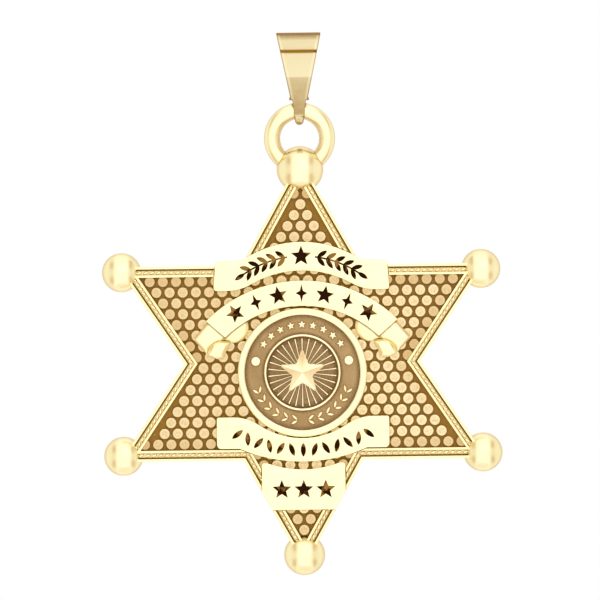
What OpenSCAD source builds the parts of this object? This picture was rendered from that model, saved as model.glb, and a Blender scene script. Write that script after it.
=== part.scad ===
// Six-point star badge pendant on a folded bail.
// The front faces -Y, +Z is up, and the origin is where a chain rests inside the top of the bail.

/* [Bail] */
// Width of the strip across the top of the bail
bail_w = 2.86; // [2.2:0.02:3.6]
// Width of the strip at its neck, just above the hanging ring
bail_neck_w = 1.06; // [0.96:0.02:1.3]
// Height from the top of the bail down to the middle of the ring's wire
bail_h = 5; // [4.6:0.05:6.5]
// Depth of the loop from front to back
bail_depth = 2.5; // [2.2:0.05:3.2]
// Thickness of the strip at the top of the loop
bail_wall = 0.37; // [0.25:0.01:0.5]
// Radius of the hollow's narrow lower end
bail_hollow_r = 0.22; // [0.15:0.01:0.3]
// Thickness of the solid neck between the hollow and the eye
bail_web = 0.25; // [0.15:0.01:0.4]
// Width of the groove across the front, below the top band
crease_w = 0.09; // [0.05:0.01:0.15]
// Depth of that groove
crease_deep = 0.06; // [0.03:0.01:0.12]
// Height of the neck above the eye
neck_up = 0.1; // [0.05:0.01:0.2]
// Width of the two small lugs behind the neck, taken together
lug_w = 1.28; // [1.1:0.02:1.5]
// Height of those lugs
lug_h = 0.18; // [0.1:0.01:0.3]
// Thickness of those lugs
lug_t = 0.24; // [0.16:0.01:0.3]

/* [Eye and tongue] */
// Radial gap between the ring's wire and the eye of the bail
eye_gap = 0.09; // [0.07:0.01:0.14]
// Wall of the eye
eye_wall = 0.3; // [0.2:0.01:0.4]
// Width of the tongue where it leaves the neck
tongue_w = 0.88; // [0.7:0.02:0.94]
// Width of the tongue at its rounded end
tongue_end_w = 0.55; // [0.4:0.01:0.68]

/* [Hanging ring] */
// Outer diameter of the ring
ring_od = 4.55; // [4.1:0.05:5.2]
// Diameter of its wire
ring_wire = 1.03; // [0.8:0.01:1.15]
// How deep the wire's centre line sinks into the top ball
ring_sink = 1.27; // [1:0.01:1.5]

/* [Star outline] */
// Height between the ideal tips of the top and bottom points
star_h = 26; // [25:0.1:28]
// Width between the ideal tips of the side points
star_w = 23.4; // [22.4:0.1:26]
// Height between the level edges of the side points
edge_h = 12.44; // [12:0.02:12.9]
// Width of the top and bottom points at their roots
notch_w = 7.6; // [7.2:0.05:8.2]
// Width of the star at its waist
waist_w = 15.02; // [14.6:0.02:15.8]

/* [Plate and field] */
// Distance of the flat back behind the middle of the ring's wire
back_y = 0.56; // [0.53:0.01:0.7]
// Thickness of the plate under the dotted field
plate_t = 0.8; // [0.6:0.01:1]
// Diameter of a raised dot
dot_d = 0.67; // [0.5:0.01:0.74]
// Height of a dot above the field
dot_h = 0.28; // [0.15:0.01:0.34]
// Distance between dots in a row
dot_pitch = 0.842; // [0.8:0.002:1]
// Distance between rows of dots
row_pitch = 0.693; // [0.68:0.001:0.9]
// Height of the row of dots nearest the middle, above the star's centre
row_rise = 0.4; // [0:0.01:0.6]

/* [Rim] */
// Width of the outer lip
outer_lip_w = 0.17; // [0.12:0.01:0.24]
// Width of the groove inside the outer lip
groove_w = 0.09; // [0.05:0.01:0.14]
// Width of the beaded band
band_w = 0.27; // [0.2:0.01:0.34]
// Width of the inner lip
inner_lip_w = 0.17; // [0.12:0.01:0.24]
// Height of the outer lip above the field
outer_lip_h = 0.44; // [0.36:0.01:0.5]
// Height of the groove's floor above the field
groove_h = 0.1; // [0.05:0.01:0.2]
// Height of the beaded band above the field
band_h = 0.34; // [0.25:0.01:0.36]
// Height of the inner lip above the field
inner_lip_h = 0.46; // [0.38:0.01:0.52]

/* [Tip balls] */
// Diameter of the top ball
top_ball_d = 2.98; // [2.7:0.02:3.3]
// Diameter of the bottom ball
bottom_ball_d = 2.62; // [2.4:0.02:3]
// Diameter of the four side balls
side_ball_d = 2.5; // [2.2:0.02:2.8]
// Distance of the top ball's centre below the ideal tip
top_ball_in = 0.65; // [0.4:0.01:0.9]
// Distance of the bottom ball's centre above the ideal tip
bottom_ball_in = 0.7; // [0.4:0.01:0.9]
// Distance of a side ball's centre in from the ideal tip
side_ball_in = 0.21; // [0:0.01:0.5]
// Distance of a side ball's centre from the level edge
side_ball_down = 0.35; // [0.2:0.01:0.6]
// Distance of the balls' centres behind the middle of the ring's wire
ball_y = 0.16; // [0:0.01:0.3]

/* [Upper banner] */
// Height of the top edge above the star's centre, at the middle
upper_top = 7.7; // [7.5:0.02:8.2]
// Height of the top edge at the ends
upper_top_end = 6.53; // [6.3:0.01:6.7]
// Radius of the top edge
upper_top_r = 6.7; // [6.2:0.1:8]
// Radius of the flare that levels the top edge
upper_top_flare = 2; // [1.5:0.1:2.5]
// Height of the bottom edge at the middle
upper_bottom = 5.87; // [5.6:0.01:6.1]
// Height of the bottom edge at the ends
upper_bottom_end = 4.62; // [4.4:0.01:4.8]
// Radius of the bottom edge
upper_bottom_r = 6.5; // [6:0.1:7.5]
// Radius of the flare that levels the bottom edge
upper_bottom_flare = 3; // [2.4:0.1:3.4]
// Width of the upper banner
upper_w = 11.24; // [10.6:0.02:11.8]
// How far its top corners lie in from its bottom corners
upper_end_in = 0.15; // [0:0.01:0.3]

/* [Middle banner] */
// Distance of the banner's arc centre below the star's centre
middle_low = 3.44; // [3.3:0.02:3.44]
// Outer radius of the banner
middle_outer_r = 8.67; // [8.4:0.01:8.8]
// Inner radius of the banner
middle_inner_r = 7.06; // [7.04:0.01:7.3]
// Angle between its two cut ends
middle_span = 98; // [92:0.5:100]
// Height above the arc's centre of the point that the two cuts aim at
middle_aim = 0.83; // [0.7:0.01:0.9]
// Width of the folded tail, along the banner's cut end
fold_w = 1.48; // [1.3:0.02:1.6]
// Length of the folded tail below the cut end
fold_len = 1.5; // [1.4:0.01:1.6]
// How much the tail's foot slants
fold_slant = 0.16; // [0.1:0.01:0.2]
// Height of the folded tail above the field
fold_h = 0.6; // [0.5:0.01:0.66]
// Radius of the rolled curl at the tail's foot
curl_r = 0.97; // [0.9:0.01:1.04]
// How far the curl swells out over the tail
curl_swell = 0.34; // [0.28:0.01:0.4]
// Width of the curl beside the tail's inner edge
curl_w = 0.74; // [0.66:0.01:0.8]
// Height of the curl above the field
curl_h = 0.7; // [0.67:0.01:0.76]
// Radius of the ribbon's return, behind the banner's inner edge
wing_r = 0.97; // [0.9:0.01:1.02]
// Depth of that return below the banner, at its widest
wing_deep = 0.84; // [0.75:0.01:0.9]
// Distance of the return's middle from the banner's inner corner, along the edge
wing_in = 0.8; // [0.75:0.01:0.86]
// Height of the ribbon's return above the field
wing_h = 0.48; // [0.4:0.01:0.56]

/* [Lower banner] */
// Depth of the bottom edge below the star's centre, at the middle
lower_bottom = 6.31; // [6.2:0.01:6.45]
// Depth of the bottom edge at the ends
lower_bottom_end = 5.45; // [5.35:0.01:5.6]
// Radius of the bottom edge
lower_bottom_r = 10; // [9.5:0.1:11]
// Radius of the small step where the ends fold
lower_bottom_flare = 0.3; // [0.2:0.01:0.4]
// Depth of the top edge at the middle
lower_top = 4.81; // [4.81:0.01:4.95]
// Depth of the top edge at the ends
lower_top_end = 3.44; // [3.3:0.01:3.5]
// Radius of the top edge
lower_top_r = 5; // [4.8:0.05:5.2]
// Radius of the flare that levels the top edge
lower_top_flare = 3; // [2.6:0.1:3.4]
// Width of the lower banner
lower_w = 11; // [10.4:0.02:11.6]
// Radius of the rounded corners of the lower banner and the number plate
corner_r = 0.15; // [0.1:0.01:0.2]

/* [Number plate] */
// Width of the number plate
number_w = 5.32; // [4.9:0.02:5.6]
// Depth of its top corners below the star's centre
number_top = 6.38; // [6.38:0.01:6.5]
// Depth of its bottom edge below the star's centre
number_bottom = 9.38; // [9.2:0.02:9.6]
// Depth of its hollow top edge at the middle
number_mid = 6.8; // [6.7:0.02:7]
// Radius of its hollow top edge
number_top_r = 6.6; // [6:0.1:7.4]

/* [Banner relief] */
// Height of the banners and the number plate above the field
banner_h = 0.86; // [0.78:0.01:1]
// Depth of the engraving in them
engrave = 0.13; // [0.08:0.01:0.2]
// Share of a small star's radius at which its inner corners lie
star_waist = 0.42; // [0.36:0.01:0.5]
// Radius of the engraved star on the upper banner
upper_star_r = 0.66; // [0.5:0.01:0.7]
// Length of an engraved laurel leaf
laurel_len = 0.74; // [0.55:0.01:0.76]
// Width of an engraved laurel leaf
laurel_w = 0.27; // [0.2:0.01:0.34]
// Width of the engraved laurel stem
stem_w = 0.09; // [0.06:0.01:0.14]
// Pairs of leaves on each laurel branch
laurel_pairs = 5; // [3:1:5]
// Angle round the banner's arc at which a branch starts
laurel_start = 9; // [8:0.5:11]
// Angle between two pairs of leaves
laurel_step = 5; // [4.4:0.1:5.4]
// Angle at which the laurel leaves stand off the stem
laurel_lean = 42; // [34:1:50]
// Radius of an engraved star on the middle banner
middle_star_r = 0.6; // [0.45:0.01:0.66]
// Height of an engraved lozenge on the middle banner
lozenge_h = 1.14; // [0.9:0.01:1.2]
// Width of an engraved lozenge on the middle banner
lozenge_w = 0.74; // [0.5:0.01:0.8]
// Stars and lozenges on the middle banner
middle_marks = 7; // [5:2:7]
// Angle that they take up round the banner's arc
middle_marks_span = 76; // [70:1:78]
// Share of a lozenge's width and height left at its pinched corners
pinch = 0.12; // [0.08:0.01:0.2]
// Length of an engraved leaf on the lower banner
running_len = 0.86; // [0.7:0.01:0.9]
// Width of an engraved leaf on the lower banner
running_w = 0.3; // [0.2:0.01:0.32]
// Leaves on the lower banner
running_leaves = 13; // [9:2:13]
// Radius of the row of leaves
running_r = 9; // [8.4:0.1:9.6]
// Angle that the row takes up
running_span = 60; // [54:1:62]
// Angle at which the leaves lean by turns
running_lean = 24; // [12:1:30]
// Radius of an engraved star on the number plate
number_star_r = 0.62; // [0.5:0.01:0.66]
// Distance between those stars
number_star_pitch = 1.4; // [1.34:0.01:1.5]

/* [Seal] */
// Distance of the seal's centre below the star's centre
seal_low = 0.63; // [0.6:0.01:0.64]
// Outer diameter of the seal
seal_d = 8.24; // [8:0.02:8.24]
// Width of its bright rim
seal_rim_w = 0.45; // [0.35:0.01:0.55]
// Height of the rim above the field
seal_rim_h = 0.8; // [0.7:0.01:0.9]
// Height of the seal's ground above the field
seal_floor_h = 0.42; // [0.3:0.01:0.5]
// Outer diameter of the thin inner ring
inner_ring_d = 4.9; // [4.6:0.02:5.2]
// Width of the thin inner ring
inner_ring_w = 0.16; // [0.1:0.01:0.2]
// Height of the inner ring above the seal's ground
inner_ring_h = 0.2; // [0.12:0.01:0.28]
// Diameter of the two raised side dots
side_dot_d = 0.62; // [0.5:0.01:0.7]
// Height of those dots' centres above the seal's centre
side_dot_up = 0.74; // [0.6:0.02:0.9]
// Height of the raised leaves and stars above the seal's ground
wreath_h = 0.2; // [0.12:0.01:0.28]
// Raised stars along the top of the seal's band
band_stars = 9; // [5:2:9]
// Radius of one of those stars
band_star_r = 0.33; // [0.25:0.01:0.36]
// Angle that the stars take up round the band
band_star_span = 120; // [110:1:124]
// Raised leaf pairs along the bottom of the seal's band
band_pairs = 12; // [8:2:12]
// Length of one of those leaves
band_leaf_len = 0.56; // [0.4:0.01:0.6]
// Width of one of those leaves
band_leaf_w = 0.2; // [0.14:0.01:0.24]
// Angle that the leaves take up round the band
band_leaf_span = 140; // [130:1:146]
// Angle at which those leaves stand off the middle of the band
band_leaf_lean = 35; // [26:1:44]
// Radius of the faceted star in the middle
centre_star_r = 1.62; // [1.3:0.02:1.7]
// Height of that star's peak above the seal's ground
centre_star_h = 0.4; // [0.25:0.01:0.44]
// Rays behind the faceted star
rays = 30; // [20:5:30]
// Height of the rays above the seal's ground
ray_h = 0.1; // [0.06:0.01:0.16]
// Width of a ray at its outer end
ray_w = 0.18; // [0.1:0.01:0.24]
// Width of a ray at its inner end
ray_root_w = 0.04; // [0.02:0.01:0.08]
// Distance of the rays' inner ends from the seal's centre
ray_in = 0.5; // [0.4:0.01:0.6]
// Gap between the rays and the inner ring
ray_gap = 0.08; // [0.04:0.01:0.2]

/* [Fixing] */
// Diameter of the pegs on the back of each applied piece
peg_d = 0.8; // [0.6:0.02:0.9]
// Distance of the pegs from the ends of the banners and of the number plate
peg_in = 0.95; // [0.8:0.01:1.1]
// Distance of the seal's pegs from its edge
seal_peg_in = 1.5; // [1.2:0.05:2]
// Radial gap between a peg and its hole
peg_gap = 0.03; // [0.02:0.01:0.05]
// Gap between an applied piece and the plate that it sits in
seat_gap = 0.05; // [0.03:0.01:0.08]
// Gap between an applied piece and the field under it
under_gap = 0.02; // [0.01:0.01:0.04]
// Gap between the ribbon's return and the seal
wing_gap = 0.14; // [0.1:0.01:0.2]

/* [Hidden] */
$fn = 96;
long_fn = 192;
small_fn = 24;
gold = "gold";
pale_gold = "khaki";
antique_gold = "peru";

// Everything that follows from the sizes above.
ring_r = (ring_od - ring_wire) / 2;
hinge_z = bail_wall - bail_h;
top_ball_z = star_h / 2 - top_ball_in;
ring_z = top_ball_z + top_ball_d / 2 - ring_sink + ring_r;
star_z = hinge_z - ring_z - ring_r;
field_y = back_y - plate_t;
rim_w = outer_lip_w + groove_w + band_w + inner_lip_w;
loop_r = bail_depth / 2;
loop_z = bail_wall - loop_r;
eye_r = ring_wire / 2 + eye_gap;
eye_out_r = eye_r + eye_wall;
hollow_z = hinge_z + eye_out_r + bail_web + bail_hollow_r;
neck_z = hinge_z + eye_r + neck_up;
middle_mid_r = (middle_outer_r + middle_inner_r) / 2;
middle_half = middle_span / 2;
cut_side = middle_aim * sin(middle_half);
cut_start = sqrt(pow(middle_inner_r, 2) - pow(cut_side, 2)) - middle_aim * cos(middle_half);
cut_corner = [cut_start * sin(middle_half), middle_aim + cut_start * cos(middle_half)];
corner_angle = atan(cut_corner.x / cut_corner.y);
middle_peg_angle = corner_angle - peg_in / middle_mid_r * 180 / PI;
// How far a cutting shape runs past what it cuts.
cut = 0.5;
// How far a raised shape is sunk into what carries it, and how far two neighbours of one casting lap.
sink = 0.1;
lap = 0.01;
// How far the tails run on under the middle banner.
tail_lap = 0.3;
// How far a straight side is tucked inside the round that it runs into, so that the two cross cleanly.
tuck = 0.003;

// Where the line through p along u meets the line through q along v.
function meet(p, u, q, v) = let (w = q - p, t = (w.x * v.y - w.y * v.x) / (u.x * v.y - u.y * v.x)) p + t * u;

// The star's outline, moved inwards by d, as twelve corners.
function star_points(d) =
    let (
        tip = [0, star_h / 2],
        notch = [notch_w / 2, edge_h / 2],
        side = [star_w / 2, edge_h / 2],
        waist = [waist_w / 2, 0],
        u = (notch - tip) / norm(notch - tip),
        v = (waist - side) / norm(waist - side),
        p = tip + d * [u.y, -u.x],
        q = notch - [0, d],
        r = side + d * [v.y, -v.x],
        a = meet(p, u, [0, 0], [0, 1]),
        b = meet(p, u, q, [1, 0]),
        c = meet(q, [1, 0], r, v),
        e = meet(r, v, [0, 0], [1, 0])
    )
    [
        a, b, c, e, [c.x, -c.y], [b.x, -b.y],
        -a, -b, -c, -e, [-c.x, c.y], [-b.x, b.y]
    ];

// Stands a flat drawing up as a slab, from y = back forward to y = front.
module slab(back, front) {
    translate([0, back, 0])
        rotate([90, 0, 0])
            linear_extrude(back - front)
                children();
}

// Makes its children once on each side of the middle.
module both_sides() {
    children();
    mirror([1, 0, 0])
        children();
}

// Two discs joined by their outer tangents, one above the other.
module teardrop(top_r, top_z, low_r, low_z) {
    lean = asin((top_r - low_r) / (top_z - low_z));
    wide = [(top_r - tuck) * cos(lean), (low_r - tuck) * cos(lean)];
    high = [top_z - (top_r - tuck) * sin(lean), low_z - (low_r - tuck) * sin(lean)];
    translate([0, top_z])
        circle(top_r);
    translate([0, low_z])
        circle(low_r);
    polygon([[wide[0], high[0]], [wide[1], high[1]], [-wide[1], high[1]], [-wide[0], high[0]]]);
}

// The bail seen from the side: a loop for the chain and an eye for the ring.
module bail_profile() {
    difference() {
        teardrop(loop_r, loop_z, eye_out_r, hinge_z);
        teardrop(loop_r - bail_wall, loop_z, bail_hollow_r, hollow_z);
        translate([0, hinge_z])
            circle(eye_r);
    }
}

// The bail seen from the front: a tapering strip and its rounded tongue.
module bail_outline() {
    top = bail_wall + cut;
    slope = (bail_w - bail_neck_w) / 2 / (bail_wall - neck_z);
    end_z = hinge_z - eye_out_r + tongue_end_w / 2;
    polygon([
        [bail_w / 2 + cut * slope, top],
        [bail_neck_w / 2, neck_z],
        [tongue_w / 2, neck_z],
        [tongue_end_w / 2 - tuck, end_z],
        [tuck - tongue_end_w / 2, end_z],
        [-tongue_w / 2, neck_z],
        [-bail_neck_w / 2, neck_z],
        [-bail_w / 2 - cut * slope, top]
    ]);
    translate([0, end_z])
        circle(tongue_end_w / 2);
}

module bail() {
    color(gold)
        difference() {
            union() {
                intersection() {
                    rotate([90, 0, 90])
                        translate([0, 0, -bail_w])
                            linear_extrude(2 * bail_w)
                                bail_profile();
                    slab(bail_depth, -bail_depth)
                        bail_outline();
                }
                translate([-lug_w / 2, eye_r + (eye_wall - lug_t) / 2, neck_z])
                    cube([lug_w, lug_t, lug_h]);
            }
            translate([-bail_w, -loop_r - cut, loop_z - crease_w])
                cube([2 * bail_w, cut + crease_deep, crease_w]);
        }
}

// Everything below the curve of a banner's long edge: an arc that a flare levels at both ends.
module below_edge(mid, end, r, flare, half_w, grow) {
    arc_z = mid - r;
    flare_z = end + flare;
    flare_x = sqrt(pow(r + flare, 2) - pow(flare_z - arc_z, 2));
    share = (r + grow) / (r + flare);
    meet_z = arc_z + (flare_z - arc_z) * share;
    difference() {
        intersection() {
            union() {
                translate([0, arc_z])
                    circle(r + grow, $fn = long_fn);
                translate([-half_w - grow, 0])
                    square([2 * (half_w + grow), meet_z]);
            }
            translate([-half_w - grow, 0])
                square([2 * (half_w + grow), mid + grow + cut]);
        }
        both_sides() {
            translate([flare_x, flare_z])
                circle(flare - grow + tuck);
            translate([flare_x, end + grow])
                square([half_w, mid]);
        }
    }
}

module upper_outline(grow = 0) {
    half_w = upper_w / 2 + cut;
    slope = upper_end_in / (upper_top_end - upper_bottom_end);
    low = upper_bottom_end - cut;
    high = upper_top + cut;
    foot = upper_w / 2 + grow + slope * cut;
    head = upper_w / 2 + grow - slope * (high - upper_bottom_end);
    intersection() {
        difference() {
            below_edge(upper_top, upper_top_end, upper_top_r, upper_top_flare, half_w, grow);
            below_edge(upper_bottom, upper_bottom_end, upper_bottom_r, upper_bottom_flare, half_w + cut, -grow);
        }
        polygon([[-foot, low], [foot, low], [head, high], [-head, high]]);
    }
}

module lower_outline(grow = 0) {
    half_w = lower_w / 2;
    mirror([0, 1])
        difference() {
            below_edge(lower_bottom, lower_bottom_end, lower_bottom_r, lower_bottom_flare, half_w, grow);
            below_edge(lower_top, lower_top_end, lower_top_r, lower_top_flare, half_w + cut, -grow);
            both_sides()
                translate([half_w + grow, lower_top_end - grow])
                    mirror([0, 1])
                        corner_waste(corner_r + grow);
        }
}

// What rounding takes off a corner that lies at the origin, up and to the right of its plate.
module corner_waste(r) {
    translate([-r, -r])
        difference() {
            square(r + cut);
            circle(r + tuck);
        }
}

// A wedge with its point at the origin, opening upwards by half an angle on each side.
module wedge(half, r) {
    polygon([
        [0, 0],
        [-r * sin(half), r * cos(half)],
        [-r * sin(half / 2), 1.5 * r * cos(half / 2)],
        [r * sin(half / 2), 1.5 * r * cos(half / 2)],
        [r * sin(half), r * cos(half)]
    ]);
}

module middle_outline(grow = 0) {
    translate([0, -middle_low])
        intersection() {
            difference() {
                circle(middle_outer_r + grow, $fn = long_fn);
                circle(middle_inner_r - grow, $fn = long_fn);
            }
            translate([0, middle_aim - grow / sin(middle_half)])
                wedge(middle_half, 1.5 * middle_outer_r);
        }
}

// Places its children at the banner's cut end: the inner corner is the origin, and +X runs out along the cut.
module at_cut_end() {
    translate(cut_corner - [0, middle_low])
        rotate(90 - middle_half)
            children();
}

// The tail that folds back from the cut end, on the right.
module fold_outline(grow = 0) {
    at_cut_end()
        polygon([
            [-grow, tail_lap],
            [fold_w + grow, tail_lap],
            [fold_w + grow, fold_slant / 2 - fold_len - grow],
            [fold_slant - grow, -fold_slant / 2 - fold_len - grow]
        ]);
}

// The rolled foot of the tail: a round cut off by the ribbon's own edges.
module curl_outline(grow = 0) {
    foot = -fold_len - fold_slant / 2 - grow;
    at_cut_end()
        intersection() {
            translate([curl_swell - curl_r, -2 / 3 * fold_len])
                circle(curl_r + grow);
            polygon([
                [curl_r, tail_lap],
                [-curl_w / 2 - grow, tail_lap],
                [-curl_w - grow, 2 / 3 * foot],
                [-curl_w * 2 / 3 - grow, 7 / 8 * foot],
                [fold_slant, foot],
                [curl_r, foot]
            ]);
        }
}

// The ribbon's return, a round that shows between the banner's inner edge and the seal.
module wing_outline(grow = 0) {
    difference() {
        translate([0, -middle_low])
            intersection() {
                rotate(wing_in / middle_inner_r * 180 / PI - corner_angle)
                    translate([0, middle_inner_r + wing_r - wing_deep])
                        circle(wing_r + grow);
                circle(middle_inner_r + tail_lap);
            }
        seal_outline(wing_gap - grow);
    }
}

// All that shows behind the middle banner, on both sides.
module tail_outlines(grow = 0) {
    both_sides() {
        fold_outline(grow);
        curl_outline(grow);
        wing_outline(grow);
    }
}

module number_outline(grow = 0) {
    difference() {
        intersection() {
            translate([-number_w / 2 - grow, -number_bottom - grow])
                square([number_w + 2 * grow, number_bottom - number_top + 2 * grow]);
            polygon(star_points(-grow));
        }
        translate([0, number_top_r - number_mid])
            circle(number_top_r - grow, $fn = long_fn);
        both_sides()
            translate([number_w / 2 + grow, grow - number_top])
                corner_waste(corner_r + grow);
    }
}

module seal_outline(grow = 0) {
    translate([0, -seal_low])
        circle(seal_d / 2 + grow);
}

// The peg places of each applied piece, as [x, z] from the star's centre.
function peg_places(piece) =
    let (
        aside = [sin(middle_peg_angle), cos(middle_peg_angle)],
        place =
            piece == "upper" ? [upper_w / 2 - peg_in, upper_bottom_end + peg_d] :
            piece == "middle" ? middle_mid_r * aside - [0, middle_low] :
            piece == "lower" ? [lower_w / 2 - peg_in, -(lower_top_end + lower_bottom_end) / 2] :
            piece == "number" ? [number_w / 2 - peg_in, -(number_mid + number_bottom) / 2] :
            [seal_d / 2 - seal_peg_in, -seal_low]
    )
    [place, [-place.x, place.y]];

module peg_discs(piece, grow = 0) {
    for (p = peg_places(piece))
        translate(p)
            circle(peg_d / 2 + grow);
}

// A ring of the rim between two insets from the star's edge.
module rim_ring(outer, inner) {
    difference() {
        polygon(star_points(outer));
        polygon(star_points(inner));
    }
}

// The rows of raised dots that fill the field.
module field_dots() {
    rows = ceil(star_h / 2 / row_pitch);
    columns = ceil(star_w / 2 / dot_pitch);
    intersection() {
        polygon(star_points(rim_w - lap));
        for (row = [-rows : rows])
            for (column = [-columns : columns]) {
                place = [(column + (row % 2 == 0 ? 0 : 0.5)) * dot_pitch, row_rise + row * row_pitch];
                if (in_field(place))
                    translate(place)
                        circle(dot_d / 2, $fn = small_fn);
            }
    }
}

// True where a dot's centre is inside the rim: each test compares the place with one edge of the outline.
function in_field(p) =
    let (s = star_points(rim_w), q = [abs(p.x), abs(p.y)])
    (left_of(q, s[0], s[1]) && q.y >= s[1].y - 0.001) || (q.y <= s[1].y && left_of(q, s[2], s[3]));

function left_of(p, a, b) = (b.x - a.x) * (p.y - a.y) - (b.y - a.y) * (p.x - a.x) < 0;

module star_plate() {
    color(gold)
        translate([0, 0, star_z])
            difference() {
                union() {
                    star_front();
                    balls();
                    translate([0, 0, ring_z])
                        rotate([90, 0, 0])
                            rotate_extrude()
                                translate([ring_r, 0])
                                    circle(ring_wire / 2);
                }
                slab(back_y + cut, field_y - cut)
                    for (piece = ["upper", "middle", "lower", "number", "seal"])
                        peg_discs(piece, peg_gap);
            }
}

// The plate, its rim and its dots, with a clear seat for each applied piece.
module star_front() {
    lip = outer_lip_w;
    groove = lip + groove_w;
    band = groove + band_w;
    difference() {
        union() {
            slab(back_y, field_y)
                polygon(star_points(0));
            slab(field_y + sink, field_y - outer_lip_h)
                rim_ring(0, lip);
            slab(field_y + sink, field_y - groove_h)
                rim_ring(lip - lap, groove + lap);
            slab(field_y + sink, field_y - band_h)
                rim_ring(groove, band);
            slab(field_y + sink, field_y - inner_lip_h)
                rim_ring(band, rim_w);
            slab(field_y + sink, field_y - dot_h)
                field_dots();
        }
        slab(field_y, field_y - inner_lip_h - cut)
            seats();
    }
}

module seats() {
    upper_outline(seat_gap);
    middle_outline(seat_gap);
    tail_outlines(seat_gap);
    lower_outline(seat_gap);
    number_outline(seat_gap);
    seal_outline(seat_gap);
}

// A ball at the tip of a point, flat behind like the plate.
module ball(d, x, z) {
    translate([x, ball_y, z])
        rotate([90, 0, 0])
            rotate_extrude()
                intersection() {
                    circle(d / 2);
                    translate([0, ball_y - back_y])
                        square([d, d]);
                }
}

module balls() {
    ball(top_ball_d, 0, top_ball_z);
    ball(bottom_ball_d, 0, bottom_ball_in - star_h / 2);
    for (sx = [-1, 1], sz = [-1, 1])
        ball(side_ball_d, sx * (star_w / 2 - side_ball_in), sz * (edge_h / 2 - side_ball_down));
}

// An applied piece: its body and two pegs, with the engraving taken out of its face.
module applied(piece, height) {
    difference() {
        union() {
            slab(field_y - under_gap, field_y - height)
                children(0);
            slab(back_y, field_y - under_gap - sink)
                peg_discs(piece);
        }
        slab(field_y - height + engrave, field_y - height - cut)
            children(1);
    }
}

// A five-point star with one point up.
module five_point(r) {
    polygon([
        for (k = [0 : 9])
            let (reach = k % 2 == 0 ? r : star_waist * r)
                [reach * sin(36 * k), reach * cos(36 * k)]
    ]);
}

// A pointed leaf that starts at the origin and grows along +X.
module leaf(len, w) {
    r = (len * len / 4 + w * w / 4) / w;
    intersection() {
        translate([len / 2, r - w / 2])
            circle(r);
        translate([len / 2, w / 2 - r])
            circle(r);
    }
}

// A lozenge with hollow sides.
module lozenge(w, h) {
    x = pinch * w;
    z = pinch * h;
    polygon([[0, h / 2], [x, z], [w / 2, 0], [x, -z], [0, -h / 2], [-x, -z], [-w / 2, 0], [-x, z]]);
}

// A star with a laurel branch on each side, along the upper banner.
module upper_marks() {
    mid = (upper_top + upper_bottom) / 2;
    r = (upper_top_r + upper_bottom_r) / 2;
    first = laurel_start - laurel_step / 4;
    last = laurel_start + laurel_step * laurel_pairs;
    translate([0, mid])
        five_point(upper_star_r);
    both_sides()
        translate([0, mid - r]) {
            intersection() {
                difference() {
                    circle(r + stem_w / 2, $fn = long_fn);
                    circle(r - stem_w / 2, $fn = long_fn);
                }
                rotate(-(first + last) / 2)
                    wedge((last - first) / 2, 2 * r);
            }
            for (k = [0 : laurel_pairs - 1])
                rotate(-(laurel_start + laurel_step * k))
                    translate([0, r]) {
                        rotate(laurel_lean)
                            leaf(laurel_len, laurel_w);
                        rotate(-laurel_lean)
                            leaf(laurel_len, laurel_w);
                    }
            rotate(-last)
                translate([-sink, r])
                    leaf(laurel_len, laurel_w);
        }
}

// Stars and lozenges in turn along the middle banner.
module middle_marks_row() {
    step = middle_marks_span / middle_marks;
    half = (middle_marks - 1) / 2;
    for (k = [-half : half])
        translate([0, -middle_low])
            rotate(-k * step)
                translate([0, middle_mid_r])
                    if ((k + half) % 2 == 0)
                        five_point(middle_star_r);
                    else
                        lozenge(lozenge_w, lozenge_h);
}

// Leaves that lean by turns along the lower banner, away from the upright one in the middle.
module lower_marks() {
    mid = -(lower_top + lower_bottom) / 2;
    step = running_span / running_leaves;
    half = (running_leaves - 1) / 2;
    for (k = [-half : half])
        translate([0, mid + running_r])
            rotate(180 + k * step)
                translate([0, running_r])
                    rotate(90 + sign(k) * (k % 2 == 0 ? running_lean : -running_lean))
                        translate([-running_len / 2, 0])
                            leaf(running_len, running_w);
}

// Three stars side by side on the number plate.
module number_marks() {
    for (k = [-1 : 1])
        translate([k * number_star_pitch, -(number_mid + number_bottom) / 2])
            five_point(number_star_r);
}

module upper_banner() {
    color(pale_gold)
        translate([0, 0, star_z])
            applied("upper", banner_h) {
                upper_outline();
                upper_marks();
            }
}

module middle_banner() {
    color(pale_gold)
        translate([0, 0, star_z])
            union() {
                applied("middle", banner_h) {
                    middle_outline();
                    middle_marks_row();
                }
                both_sides() {
                    slab(field_y - under_gap, field_y - fold_h)
                        fold_outline();
                    slab(field_y - under_gap, field_y - curl_h)
                        curl_outline();
                    slab(field_y - under_gap, field_y - wing_h)
                        wing_outline();
                }
            }
}

module lower_banner() {
    color(pale_gold)
        translate([0, 0, star_z])
            applied("lower", banner_h) {
                lower_outline();
                lower_marks();
            }
}

module number_plate() {
    color(pale_gold)
        translate([0, 0, star_z])
            applied("number", banner_h) {
                number_outline();
                number_marks();
            }
}

// A flat ring about the origin.
module flat_ring(outer_d, w) {
    difference() {
        circle(outer_d / 2);
        circle(outer_d / 2 - w);
    }
}

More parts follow.
